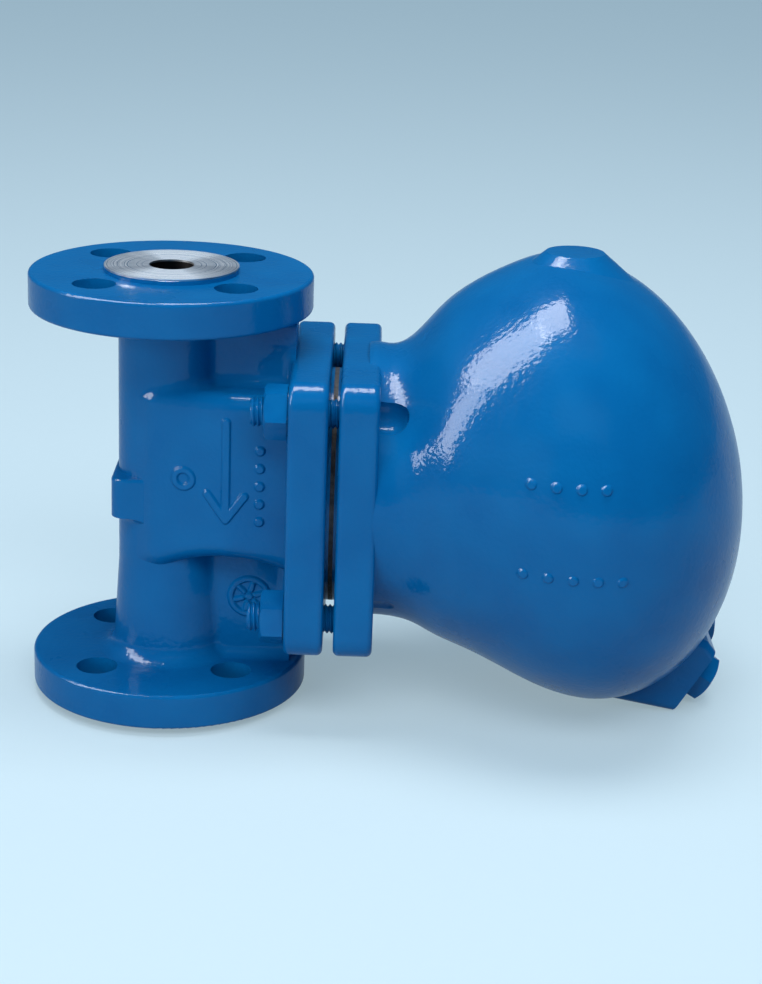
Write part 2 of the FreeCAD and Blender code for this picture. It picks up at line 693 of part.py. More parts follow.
def float_weld():
    """Weld bead that fills the joint of the two halves and crowns over it."""
    inner, outer, half = float_r - float_wall, float_r, weld_width / 2
    points = [Vector(inner, 0, -half), Vector(outer, 0, -half), Vector(outer + weld_crown, 0, -half * 0.6),
              Vector(outer + weld_crown, 0, half * 0.6), Vector(outer, 0, half), Vector(inner, 0, half)]
    bead = revolve(points, Vector(0, 0, 0), Z)
    bead.Placement = along(arm, float_centre)
    return bead


vent_head_x = body_face_x + carrier_gasket_t + vent_head_length
vent_face_x = vent_head_x + cage_wall + vent_seat_head
capsule_x = vent_face_x + capsule_gap


def vent_seat():
    depth = vent_face_x - vent_head_x + vent_thread_length
    seat = cylinder(vent_seat_head_r, vent_seat_head, Vector(vent_face_x - vent_seat_head, 0, vent_z), X)
    seat = seat.fuse(cylinder(vent_thread_r, depth, Vector(vent_face_x - depth, 0, vent_z), X))
    return seat.cut(cylinder(vent_orifice_r, depth, Vector(vent_face_x - depth, 0, vent_z), X))


def vent_cage():
    """Pressed cup under the vent seat's head that holds the capsule; windows let steam reach it."""
    inner = cage_r - cage_wall
    step = capsule_x - vent_head_x
    points = [Vector(0, 0, vent_thread_r + thread_gap), Vector(0, 0, cage_r), Vector(cage_length, 0, cage_r),
              Vector(cage_length, 0, inner), Vector(step, 0, inner), Vector(step, 0, inner - 1.6),
              Vector(step - cage_wall, 0, inner - 1.6), Vector(step - cage_wall, 0, inner),
              Vector(cage_wall, 0, inner), Vector(cage_wall, 0, vent_thread_r + thread_gap)]
    cup = revolve(points, Vector(0, 0, 0), X)
    windows = []
    for i in range(4):
        window = box(cage_wall + 0.4, step - cage_wall - 0.4, -3.5, 3.5, vent_seat_head_r + 2, cage_r + 1)
        window.rotate(Vector(0, 0, 0), X, 45 + 90 * i)
        windows.append(window)
    cup = cup.cut(windows)
    cup.translate(Vector(vent_head_x, 0, vent_z))
    return cup


def vent_snap_ring():
    start = Vector(capsule_x + capsule_t, 0, vent_z)
    snap = ring(cage_r - cage_wall - 0.05, cage_r - cage_wall - 1.6, 1.0, start, X)
    return snap.cut(box(start.x, start.x + 1.0, -2, 2, vent_z, vent_z + 2 * cage_r))


def capsule_half(front):
    """Pressed dish; front is the half with the hole for the vent plug's stem."""
    half = capsule_t / 2
    room_r = capsule_r - 1.5
    hole = vent_stem_r + running_gap if front else 0.0
    points = [Vector(0, 0, hole), Vector(0, 0, room_r + 0.4), Vector(half - capsule_wall, 0, room_r + 0.8),
              Vector(half - capsule_wall, 0, capsule_r), Vector(half, 0, capsule_r), Vector(half, 0, room_r),
              Vector(capsule_wall, 0, room_r - 0.3), Vector(capsule_wall, 0, hole)]
    dish = revolve(points, Vector(0, 0, 0), X)
    if not front:
        dish.rotate(Vector(0, 0, 0), Z, 180)
        dish.translate(Vector(capsule_t, 0, 0))
    dish.translate(Vector(capsule_x, 0, vent_z))
    return dish


def vent_membrane():
    """Middle of the diaphragm, which carries the plug."""
    x = capsule_x + capsule_t / 2
    return ring(capsule_r - 2.4, vent_stem_r, membrane_t, Vector(x, 0, vent_z), X)


def vent_plug():
    tip_x = vent_face_x + vent_lift
    head_end = capsule_x - 0.15
    cone = Part.makeCone(0.6, vent_plug_r, 0.6, Vector(tip_x, 0, vent_z), X)
    head = cylinder(vent_plug_r, head_end - tip_x - 0.6, Vector(tip_x + 0.6, 0, vent_z), X)
    stem_end = capsule_x + capsule_t / 2 + membrane_t
    stem = cylinder(vent_stem_r, stem_end - head_end, Vector(head_end, 0, vent_z), X)
    return cone.fuse([head, stem])


def vent_channel_plug():
    channel_x = body_face_x + carrier_gasket_t + riser_t / 2
    top = Vector(channel_x, 0, vent_z + vent_head_r)
    return cylinder(riser_channel_r, channel_plug_length, top, -Z)


def nodes():
    return {
        "body": body_casting(),
        "hood": hood_casting(),
        "hood_gasket": hood_gasket(),
        "hood_studs": hood_studs(),
        "hood_nuts": hood_nuts(),
        "drain_plug": hexagon_plug(drain_face, drain_axis(), plug_turn),
        "drain_plug_ring": plug_ring(drain_face, drain_axis()),
        "balance_plug": hexagon_plug(balance_face, X, plug_turn),
        "balance_plug_ring": plug_ring(balance_face, X),
        "carrier_gasket": carrier_gasket(),
        "control_carrier": control_carrier(),
        "carrier_screws": carrier_screws(),
        "valve_seat": valve_seat(),
        "valve_seat_ring": valve_seat_ring(),
        "pivot_pin": pivot_pin(),
        "pivot_clips": pivot_clips(),
        "valve_lever": valve_lever(),
        "valve_ball": valve_ball(),
        "float_rod": float_rod(),
        "float_locknut": float_locknut(),
        "float_socket": float_socket(),
        "float_shell_inner": float_shell(-1),
        "float_shell_outer": float_shell(1),
        "float_weld": float_weld(),
        "vent_seat": vent_seat(),
        "vent_cage": vent_cage(),
        "vent_snap_ring": vent_snap_ring(),
        "vent_capsule_front": capsule_half(True),
        "vent_capsule_back": capsule_half(False),
        "vent_membrane": vent_membrane(),
        "vent_plug": vent_plug(),
        "vent_channel_plug": vent_channel_plug(),
    }


os.makedirs("parts", exist_ok=True)
for name, shape in nodes().items():
    shape.translate(Vector(0, 0, half_length))
    shape.exportStep("parts/" + name + ".step")
    print(name, shape.isValid(), len(shape.Solids), round(shape.Volume))
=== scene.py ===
import bpy
import math
import numpy as np
from mathutils import Matrix, Quaternion, Vector
from mathutils.bvhtree import BVHTree


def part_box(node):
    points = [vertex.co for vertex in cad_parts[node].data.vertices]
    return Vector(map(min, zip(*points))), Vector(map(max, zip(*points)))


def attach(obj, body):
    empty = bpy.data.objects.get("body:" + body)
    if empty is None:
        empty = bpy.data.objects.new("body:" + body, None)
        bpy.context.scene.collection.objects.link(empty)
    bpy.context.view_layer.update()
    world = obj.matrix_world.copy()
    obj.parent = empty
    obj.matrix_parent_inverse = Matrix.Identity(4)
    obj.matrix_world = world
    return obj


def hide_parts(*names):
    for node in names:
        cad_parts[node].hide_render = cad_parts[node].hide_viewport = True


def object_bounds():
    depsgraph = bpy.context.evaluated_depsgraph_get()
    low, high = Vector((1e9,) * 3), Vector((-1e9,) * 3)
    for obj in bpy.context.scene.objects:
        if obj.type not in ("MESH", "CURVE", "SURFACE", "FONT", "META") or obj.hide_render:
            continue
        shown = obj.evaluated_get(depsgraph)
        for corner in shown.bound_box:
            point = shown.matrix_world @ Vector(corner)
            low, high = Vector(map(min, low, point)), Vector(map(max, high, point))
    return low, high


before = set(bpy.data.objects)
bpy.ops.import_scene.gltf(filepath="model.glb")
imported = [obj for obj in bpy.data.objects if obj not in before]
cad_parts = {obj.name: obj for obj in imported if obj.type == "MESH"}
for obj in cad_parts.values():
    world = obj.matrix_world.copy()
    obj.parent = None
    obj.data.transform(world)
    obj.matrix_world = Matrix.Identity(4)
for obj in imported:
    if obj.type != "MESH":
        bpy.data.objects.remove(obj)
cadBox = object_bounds()
scene = bpy.context.scene
print("frame loaded:", len(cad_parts), "nodes")


# small helpers for node trees

def addNode(tree, kind, settings=None, **sockets):
    node = tree.nodes.new(kind)
    for name, value in (settings or {}).items():
        setattr(node, name, value)
    for name, value in sockets.items():
        node.inputs[name.replace("_", " ")].default_value = value
    return node


def mathNode(tree, operation, a, b=None):
    node = addNode(tree, "ShaderNodeMath", {"operation": operation})
    for index, value in enumerate((a, b)):
        if isinstance(value, bpy.types.NodeSocket):
            tree.links.new(value, node.inputs[index])
        elif value is not None:
            node.inputs[index].default_value = value
    return node.outputs[0]


def mixColour(tree, factor, low, high):
    node = addNode(tree, "ShaderNodeMix", {"data_type": "RGBA"})
    for index, value in ((0, factor), (6, low), (7, high)):
        if isinstance(value, bpy.types.NodeSocket):
            tree.links.new(value, node.inputs[index])
        else:
            node.inputs[index].default_value = value
    return node.outputs[2]


def remap(tree, value, fromLow, fromHigh, toLow=0.0, toHigh=1.0):
    node = addNode(tree, "ShaderNodeMapRange", {"clamp": True}, From_Min=fromLow, From_Max=fromHigh,
                   To_Min=toLow, To_Max=toHigh)
    tree.links.new(value, node.inputs["Value"])
    return node.outputs["Result"]


def newGroup(name, inputs, outputs):
    # a shader node group with its named sockets: (name, kind, default)
    group = bpy.data.node_groups.new(name, "ShaderNodeTree")
    for socketName, kind, default in inputs:
        socket = group.interface.new_socket(socketName, in_out="INPUT", socket_type=kind)
        if default is not None:
            socket.default_value = default
    for socketName, kind in outputs:
        group.interface.new_socket(socketName, in_out="OUTPUT", socket_type=kind)
    return group, group.nodes.new("NodeGroupInput"), group.nodes.new("NodeGroupOutput")


def useGroup(tree, group, vector=None, **values):
    node = tree.nodes.new("ShaderNodeGroup")
    node.node_tree = group
    for name, value in values.items():
        node.inputs[name].default_value = value
    if vector is not None:
        tree.links.new(vector, node.inputs["Vector"])
    return node


def startMaterial(name):
    material = bpy.data.materials.new(name)
    material.use_nodes = True
    tree = material.node_tree
    tree.nodes.clear()
    output = tree.nodes.new("ShaderNodeOutputMaterial")
    shader = tree.nodes.new("ShaderNodeBsdfPrincipled")
    tree.links.new(shader.outputs[0], output.inputs[0])
    place = tree.nodes.new("ShaderNodeTexCoord").outputs["Object"]
    return material, tree, shader, place


def bumpFrom(tree, shader, height, distance, targets=("Normal",)):
    bump = addNode(tree, "ShaderNodeBump", Strength=1.0, Distance=distance)
    tree.links.new(height, bump.inputs["Height"])
    for target in targets:
        tree.links.new(bump.outputs[0], shader.inputs[target])


def radiusOf(tree, split):
    # distance from the Z axis
    squares = [mathNode(tree, "POWER", split.outputs[axis], 2.0) for axis in (0, 1)]
    return mathNode(tree, "SQRT", mathNode(tree, "ADD", *squares))


# effects shared by several materials

# a cast surface under thick paint is long swells, small dimples and fine orange peel: the name of each
# layer of noise, its scale, its height in metres and its detail
skinLayers = (("Swell", 55.0, 0.00042, 1.0), ("Dimple", 620.0, 0.00010, 1.0),
              ("Peel", 2600.0, 0.000010, 0.0))


def makeCastSkin():
    group, start, end = newGroup("castSkin",
                                 [("Vector", "NodeSocketVector", None), ("Fine", "NodeSocketFloat", 1.0)],
                                 [("Height", "NodeSocketFloat"), ("Tone", "NodeSocketFloat")])
    tree = group
    scaled = addNode(tree, "ShaderNodeVectorMath", {"operation": "SCALE"})
    tree.links.new(start.outputs["Vector"], scaled.inputs[0])
    tree.links.new(start.outputs["Fine"], scaled.inputs["Scale"])
    height = None
    for name, scale, depth, detail in skinLayers:
        noise = addNode(tree, "ShaderNodeTexNoise", Scale=scale, Detail=detail, Roughness=0.45)
        tree.links.new(scaled.outputs[0], noise.inputs["Vector"])
        layer = mathNode(tree, "MULTIPLY", noise.outputs["Fac"], depth)
        height = layer if height is None else mathNode(tree, "ADD", height, layer)
        if name == "Swell":
            tree.links.new(noise.outputs["Fac"], end.inputs["Tone"])
    tree.links.new(mathNode(tree, "DIVIDE", height, start.outputs["Fine"]), end.inputs["Height"])
    return group


# rings left by a lathe about Z: how many in a metre, and how far noise shifts them. The second output is a
# painted highlight, a fan of light and dark brightest where the face lies along ±Y: strength * (|y| /
# radius) ^ power, plus random tone noise round the axis
turning = {"rings": 2200.0, "shift": 2.0, "paintedSheen": 0.62, "power": 5.0, "noise": 0.45}


def makeTurningAndSheen():
    group, start, end = newGroup("turningAndSheen",
                                 [("Vector", "NodeSocketVector", None),
                                  ("Rings", "NodeSocketFloat", turning["rings"])],
                                 [("Height", "NodeSocketFloat"), ("PaintedSheenAndTone", "NodeSocketFloat")])
    tree = group
    split = tree.nodes.new("ShaderNodeSeparateXYZ")
    tree.links.new(start.outputs["Vector"], split.inputs[0])
    radius = radiusOf(tree, split)
    wobble = addNode(tree, "ShaderNodeTexNoise", Scale=90.0, Detail=2.0)
    tree.links.new(start.outputs["Vector"], wobble.inputs["Vector"])
    phase = mathNode(tree, "ADD", mathNode(tree, "MULTIPLY", radius, start.outputs["Rings"]),
                     mathNode(tree, "MULTIPLY", wobble.outputs["Fac"], turning["shift"]))
    line = addNode(tree, "ShaderNodeTexNoise", {"noise_dimensions": "1D"}, Scale=1.0, Detail=3.0)
    tree.links.new(phase, line.inputs["W"])
    angle = mathNode(tree, "ARCTAN2", split.outputs[1], split.outputs[0])
    rays = addNode(tree, "ShaderNodeTexNoise", {"noise_dimensions": "1D"}, Scale=1.6, Detail=2.0)
    tree.links.new(angle, rays.inputs["W"])
    share = mathNode(tree, "DIVIDE", mathNode(tree, "ABSOLUTE", split.outputs[1]), radius)
    paintedSheen = mathNode(tree, "MULTIPLY", mathNode(tree, "POWER", share, turning["power"]), turning["paintedSheen"])
    noise = mathNode(tree, "MULTIPLY", rays.outputs["Fac"], turning["noise"])
    tree.links.new(line.outputs["Fac"], end.inputs["Height"])
    tree.links.new(mathNode(tree, "ADD", paintedSheen, noise), end.inputs["PaintedSheenAndTone"])
    return group


def makeBrushedGrain():
    # fine grain drawn out along X, for pressed and ground stainless steel
    group, start, end = newGroup("brushedGrain",
                                 [("Vector", "NodeSocketVector", None), ("Stretch", "NodeSocketFloat", 1.0)],
                                 [("Height", "NodeSocketFloat"), ("Tone", "NodeSocketFloat")])
    tree = group
    split = tree.nodes.new("ShaderNodeSeparateXYZ")
    join = tree.nodes.new("ShaderNodeCombineXYZ")
    tree.links.new(start.outputs["Vector"], split.inputs[0])
    tree.links.new(mathNode(tree, "DIVIDE", split.outputs[0], start.outputs["Stretch"]), join.inputs[0])
    tree.links.new(split.outputs[1], join.inputs[1])
    tree.links.new(split.outputs[2], join.inputs[2])
    grain = addNode(tree, "ShaderNodeTexNoise", Scale=2600.0, Detail=3.0, Roughness=0.6)
    cloud = addNode(tree, "ShaderNodeTexNoise", Scale=60.0, Detail=2.0)
    tree.links.new(join.outputs[0], grain.inputs["Vector"])
    tree.links.new(start.outputs["Vector"], cloud.inputs["Vector"])
    tree.links.new(grain.outputs["Fac"], end.inputs["Height"])
    tree.links.new(cloud.outputs["Fac"], end.inputs["Tone"])
    return group


castSkin = makeCastSkin()
turningAndSheen = makeTurningAndSheen()
brushedGrain = makeBrushedGrain()

# blue enamel, and the bare turned metal of the body's raised faces and bore

enamel = {"deep": (0.0008, 0.108, 0.309, 1.0), "light": (0.0012, 0.125, 0.340, 1.0),
          "rough": (0.24, 0.36), "specular": 0.02, "coat": 0.30, "coatRough": 0.08}
# bare turned metal: its colour runs from low to high with the painted highlight fan and random tone of the
# turning group
turnedMetal = {"low": (0.36, 0.36, 0.37, 1.0), "high": (0.92, 0.92, 0.92, 1.0), "paintedSheen": (0.16, 0.62),
               "rough": (0.24, 0.46), "grooves": 0.00002, "faceDepth": 0.0006,
               "bore": (0.045, 0.040, 0.038, 1.0), "boreRadius": 0.0089}


def enamelNodes(tree, place, skin):
    # paint colour and roughness that drift slowly over the casting
    tone = remap(tree, skin.outputs["Tone"], 0.3, 0.7)
    rough = addNode(tree, "ShaderNodeTexNoise", Scale=55.0, Detail=3.0)
    tree.links.new(place, rough.inputs["Vector"])
    return (mixColour(tree, tone, enamel["deep"], enamel["light"]),
            remap(tree, rough.outputs["Fac"], 0.3, 0.7, *enamel["rough"]))


def coatOver(shader):
    shader.inputs["Specular IOR Level"].default_value = enamel["specular"]
    shader.inputs["Coat Weight"].default_value = enamel["coat"]
    shader.inputs["Coat Roughness"].default_value = enamel["coatRough"]


def makeEnamel(name, fine):
    material, tree, shader, place = startMaterial(name)
    skin = useGroup(tree, castSkin, place, Fine=fine)
    colour, roughness = enamelNodes(tree, place, skin)
    tree.links.new(colour, shader.inputs["Base Color"])
    tree.links.new(roughness, shader.inputs["Roughness"])
    coatOver(shader)
    bumpFrom(tree, shader, skin.outputs["Height"], 1.0, ("Normal", "Coat Normal"))
    return material


def makeBodyFinish():
    # enamel, but bare turned metal on the raised faces of both flanges and in the bore
    material, tree, shader, place = startMaterial("bodyFinish")
    low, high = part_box("body")
    skin = useGroup(tree, castSkin, place)
    colour, roughness = enamelNodes(tree, place, skin)
    split = tree.nodes.new("ShaderNodeSeparateXYZ")
    tree.links.new(place, split.inputs[0])
    middle = (low[2] + high[2]) / 2
    fromMiddle = mathNode(tree, "ABSOLUTE", mathNode(tree, "SUBTRACT", split.outputs[2], middle))
    onFace = mathNode(tree, "GREATER_THAN", fromMiddle, (high[2] - low[2]) / 2 - turnedMetal["faceDepth"])
    inBore = mathNode(tree, "LESS_THAN", radiusOf(tree, split), turnedMetal["boreRadius"])
    bare = mathNode(tree, "MAXIMUM", onFace, inBore)
    painted = mathNode(tree, "SUBTRACT", 1.0, bare)
    marks = useGroup(tree, turningAndSheen, place)
    # painted highlight: the raised faces' metal runs from low to high with a painted fan of light and dark
    # along ±Y, plus random tone
    turned = mixColour(tree, remap(tree, marks.outputs["PaintedSheenAndTone"], *turnedMetal["paintedSheen"]),
                       turnedMetal["low"], turnedMetal["high"])
    metal = mixColour(tree, onFace, turnedMetal["bore"], turned)
    tree.links.new(mixColour(tree, bare, colour, metal), shader.inputs["Base Color"])
    bareRough = remap(tree, marks.outputs["Height"], 0.3, 0.7, *turnedMetal["rough"])
    rough = addNode(tree, "ShaderNodeMix", {"data_type": "FLOAT"})
    tree.links.new(bare, rough.inputs[0])
    tree.links.new(roughness, rough.inputs[2])
    tree.links.new(bareRough, rough.inputs[3])
    tree.links.new(rough.outputs[0], shader.inputs["Roughness"])
    tree.links.new(bare, shader.inputs["Metallic"])
    coatOver(shader)
    tree.links.new(mathNode(tree, "MULTIPLY", painted, enamel["coat"]), shader.inputs["Coat Weight"])
    grooves = mathNode(tree, "MULTIPLY", mathNode(tree, "MULTIPLY", bare, marks.outputs["Height"]),
                       turnedMetal["grooves"])
    height = mathNode(tree, "ADD", mathNode(tree, "MULTIPLY", painted, skin.outputs["Height"]), grooves)
    bumpFrom(tree, shader, height, 1.0, ("Normal", "Coat Normal"))
    return material


# bare metals and seals: two colours and the stretch of tone noise between them, the roughness and the
# stretch of wear noise that spans it, and the height of the bump

def dress(tree, shader, look, tone, wear, height, metallic=1.0):
    colour = mixColour(tree, remap(tree, tone, *look["tone"]), look["dark"], look["light"])
    tree.links.new(colour, shader.inputs["Base Color"])
    tree.links.new(remap(tree, wear, *look["wear"], *look["rough"]), shader.inputs["Roughness"])
    shader.inputs["Metallic"].default_value = metallic
    bumpFrom(tree, shader, height, look["depth"])


turnedSteel = {"dark": (0.47, 0.46, 0.45, 1.0), "light": (0.66, 0.65, 0.63, 1.0), "tone": (0.3, 0.7),
               "wear": (0.3, 0.7), "rough": (0.18, 0.34), "depth": 0.00003, "stretch": 1.0}
pressedSteel = {**turnedSteel, "depth": 0.00004, "stretch": 14.0}
softCopper = {"dark": (0.55, 0.20, 0.10, 1.0), "light": (0.83, 0.42, 0.27, 1.0), "tone": (0.35, 0.65),
              "wear": (0.3, 0.7), "rough": (0.28, 0.42), "depth": 0.00005, "stretch": 1.0}
castSteel = {"dark": (0.33, 0.32, 0.31, 1.0), "light": (0.52, 0.51, 0.49, 1.0), "tone": (0.35, 0.65),
             "wear": (0.3, 0.7), "rough": (0.45, 0.62), "depth": 1.6, "fine": 2.4}
graphite = {"dark": (0.018, 0.018, 0.02, 1.0), "light": (0.06, 0.06, 0.065, 1.0), "tone": (0.3, 0.7),
            "wear": (0.0, 0.6), "rough": (0.4, 0.75), "depth": 0.00008, "flake": 1500.0, "cloud": 300.0}
# straw and blue heat tint over the bead
weld = {"dark": (0.52, 0.43, 0.30, 1.0), "light": (0.40, 0.42, 0.50, 1.0), "tone": (0.35, 0.65),
        "wear": (0.3, 0.7), "rough": (0.25, 0.4), "depth": 0.0003, "ripple": 700.0, "tint": 140.0}


def makeGroundMetal(name, look):
    material, tree, shader, place = startMaterial(name)
    grain = useGroup(tree, brushedGrain, place, Stretch=look["stretch"]).outputs
    dress(tree, shader, look, grain["Tone"], grain["Height"], grain["Height"])
    return material


def makeCastSteel():
    material, tree, shader, place = startMaterial("castSteel")
    skin = useGroup(tree, castSkin, place, Fine=castSteel["fine"]).outputs
    dress(tree, shader, castSteel, skin["Tone"], skin["Tone"], skin["Height"])
    return material


def makeGraphite():
    material, tree, shader, place = startMaterial("graphiteSheet")
    flake = addNode(tree, "ShaderNodeTexVoronoi", Scale=graphite["flake"])
    cloud = addNode(tree, "ShaderNodeTexNoise", Scale=graphite["cloud"], Detail=3.0)
    for node in (flake, cloud):
        tree.links.new(place, node.inputs["Vector"])
    distance = flake.outputs["Distance"]
    dress(tree, shader, graphite, cloud.outputs["Fac"], distance, distance, 0.0)
    return material


def makeWeld():
    material, tree, shader, place = startMaterial("weldBead")
    ripple = addNode(tree, "ShaderNodeTexNoise", Scale=weld["ripple"], Detail=2.0)
    tint = addNode(tree, "ShaderNodeTexNoise", Scale=weld["tint"], Detail=2.0)
    for node in (ripple, tint):
        tree.links.new(place, node.inputs["Vector"])
    dress(tree, shader, weld, tint.outputs["Fac"], ripple.outputs["Fac"], ripple.outputs["Fac"])
    return material


finishes = {"bodyFinish": makeBodyFinish(),
            "hoodEnamel": makeEnamel("hoodEnamel", 1.0), "fastenerEnamel": makeEnamel("fastenerEnamel", 2.5),
            "turnedSteel": makeGroundMetal("turnedSteel", turnedSteel),
            "pressedSteel": makeGroundMetal("pressedSteel", pressedSteel),
            "softCopper": makeGroundMetal("softCopper", softCopper),
            "castSteel": makeCastSteel(), "graphiteSheet": makeGraphite(), "weldBead": makeWeld()}
finishOf = {"body": "bodyFinish", "hood": "hoodEnamel", "hood_gasket": "graphiteSheet",
            "hood_studs": "fastenerEnamel", "hood_nuts": "fastenerEnamel", "drain_plug": "fastenerEnamel",
            "drain_plug_ring": "softCopper", "balance_plug": "fastenerEnamel",
            "balance_plug_ring": "softCopper", "carrier_gasket": "graphiteSheet",
            "control_carrier": "castSteel", "valve_seat_ring": "softCopper",
            "float_shell_inner": "pressedSteel", "float_shell_outer": "pressedSteel",
            "float_weld": "weldBead", "vent_cage": "pressedSteel", "vent_capsule_front": "pressedSteel",
            "vent_capsule_back": "pressedSteel", "vent_membrane": "pressedSteel"}
for nodeName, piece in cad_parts.items():
    material = finishes[finishOf.get(nodeName, "turnedSteel")]
    piece.data.materials.clear()
    piece.data.materials.append(material)
print("finishes on", len(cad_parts), "nodes")


# pieces drawn over the frame

def addPiece(name, points, faces, finish):
    mesh = bpy.data.meshes.new(name)
    mesh.from_pydata(points, [], faces)
    mesh.polygons.foreach_set("use_smooth", [True] * len(mesh.polygons))
    mesh.materials.append(finishes[finish])
    mesh.update()
    piece = bpy.data.objects.new(name, mesh)
    scene.collection.objects.link(piece)
    return piece


def surfaceTree(nodeName):
    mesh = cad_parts[nodeName].data
    return BVHTree.FromPolygons([vertex.co[:] for vertex in mesh.vertices],
                                [polygon.vertices[:] for polygon in mesh.polygons])


# raised marks: a grid laid on the casting from the front, lifted by a height that grows from 0 at
# "slope" outside the outline to full on it, and stops at the solids' own box; distance is positive
# inside the outline
relief = {"height": 0.0010, "slope": 0.0010, "sunk": 0.00012, "step": 0.00022}


def strokeDistance(u, v, strokes, halfWidth):
    # distance inside a drawing of straight strokes with round ends
    nearest = np.full(u.shape, np.inf)
    for x0, y0, x1, y1 in strokes:
        dx, dy = x1 - x0, y1 - y0
        t = np.clip(((u - x0) * dx + (v - y0) * dy) / (dx * dx + dy * dy), 0.0, 1.0)
        nearest = np.minimum(nearest, np.hypot(u - x0 - t * dx, v - y0 - t * dy))
    return halfWidth - nearest


def raisedMark(name, nodeName, centre, half, distance, finish):
    tree = surfaceTree(nodeName)
    columns = int(2 * half[0] / relief["step"]) + 1
    rows = int(2 * half[1] / relief["step"]) + 1
    u, v = np.meshgrid(np.linspace(-half[0], half[0], columns), np.linspace(-half[1], half[1], rows))
    inward = distance(u, v)
    rise = np.clip((inward + relief["slope"]) / relief["slope"], 0.0, 1.0)
    rise = rise * rise * (3.0 - 2.0 * rise) * relief["height"] - relief["sunk"]
    points, index = [], {}
    for row in range(rows):
        for column in range(columns):
            if inward[row, column] < -relief["slope"] - 2 * relief["step"]:
                continue
            x, z = centre[0] + u[row, column], centre[1] + v[row, column]
            place = tree.ray_cast(Vector((x, -0.2, z)), Vector((0.0, 1.0, 0.0)))[0]
            if place is not None:
                index[row, column] = len(points)
                points.append((x, max(place.y - rise[row, column], cadBox[0][1]), z))
    faces = []
    for row, column in index:
        square = [(row, column), (row, column + 1), (row + 1, column + 1), (row + 1, column)]
        if all(corner in index for corner in square):
            faces.append([index[corner] for corner in square])
    piece = addPiece(name, points, faces, finish)
    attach(piece, "trap")
    return piece


# arrow for the direction of flow, pointing down, with a tally of dots beside it and a plain ring
arrow = {"centre": (0.0205, 0.0863), "half": (0.0095, 0.0200), "stroke": 0.0009, "head": 0.0062,
         "headLength": 0.0085, "length": 0.0340}
arrowTip = -arrow["length"] / 2
arrowStrokes = [(0.0, arrow["length"] / 2, 0.0, arrowTip)]
arrowStrokes += [(side * arrow["head"], arrowTip + arrow["headLength"], 0.0, arrowTip) for side in (-1, 1)]
raisedMark("flowArrow", "body", arrow["centre"], arrow["half"],
           lambda u, v: strokeDistance(u, v, arrowStrokes, arrow["stroke"]), "bodyFinish")
ringMark = {"centre": (0.0061, 0.0824), "half": (0.0052, 0.0052), "radius": 0.0030, "stroke": 0.0006}
raisedMark("ringMark", "body", ringMark["centre"], ringMark["half"],
           lambda u, v: ringMark["stroke"] - np.abs(np.hypot(u, v) - ringMark["radius"]), "bodyFinish")


def dotRow(row):
    # distance inside round dots, spaced evenly along (stepX, stepZ) and centred on the mark
    offsets = [i - (row["count"] - 1) / 2 for i in range(row["count"])]
    return lambda u, v: np.max([row["radius"] - np.hypot(u - row["step"][0] * i, v - row["step"][1] * i)
                                for i in offsets], axis=0)


dotRows = {"chamberDots": {"node": "body", "centre": (0.0318, 0.0815), "half": (0.0028, 0.0160),
                           "count": 5, "step": (0.0, 0.0062), "radius": 0.0011},
           "bulbDotsUpper": {"node": "hood", "centre": (0.1300, 0.1000), "half": (0.0160, 0.0030),
                             "count": 4, "step": (0.0078, 0.0), "radius": 0.0011},
           "bulbDotsLower": {"node": "hood", "centre": (0.1329, 0.0702), "half": (0.0190, 0.0030),
                             "count": 5, "step": (0.0078, 0.0), "radius": 0.0011}}
for rowName, row in dotRows.items():
    finish = "bodyFinish" if row["node"] == "body" else "hoodEnamel"
    raisedMark(rowName, row["node"], row["centre"], row["half"], dotRow(row), finish)

# casting insert in the web: a ring with short bars around a dot
insert = {"centre": (0.0281, 0.0363), "half": (0.0078, 0.0078), "ring": 0.0064, "ringHalf": 0.0005,
          "bars": 6, "barHalf": 0.0004, "barFrom": 0.0024, "barTo": 0.0048, "dot": 0.0009}


def insertDistance(u, v):
    radius = np.hypot(u, v)
    inward = np.maximum(insert["ringHalf"] - np.abs(radius - insert["ring"]), insert["dot"] - radius)
    for bar in range(insert["bars"]):
        angle = 2 * math.pi * (bar + 0.25) / insert["bars"]
        along = u * math.cos(angle) + v * math.sin(angle)
        aside = v * math.cos(angle) - u * math.sin(angle)
        past = along - np.clip(along, insert["barFrom"], insert["barTo"])
        inward = np.maximum(inward, insert["barHalf"] - np.hypot(past, aside))
    return inward


raisedMark("castInsert", "body", insert["centre"], insert["half"], insertDistance, "bodyFinish")
print("raised marks drawn")

# hood studs with their threads: radius = outer - depth * |2 * frac(x / pitch - turn) - 1|, and less at
# the ends
stud = {"pitch": 0.0015, "depth": 0.00090, "end": 0.0009, "rings": 8, "sides": 40}


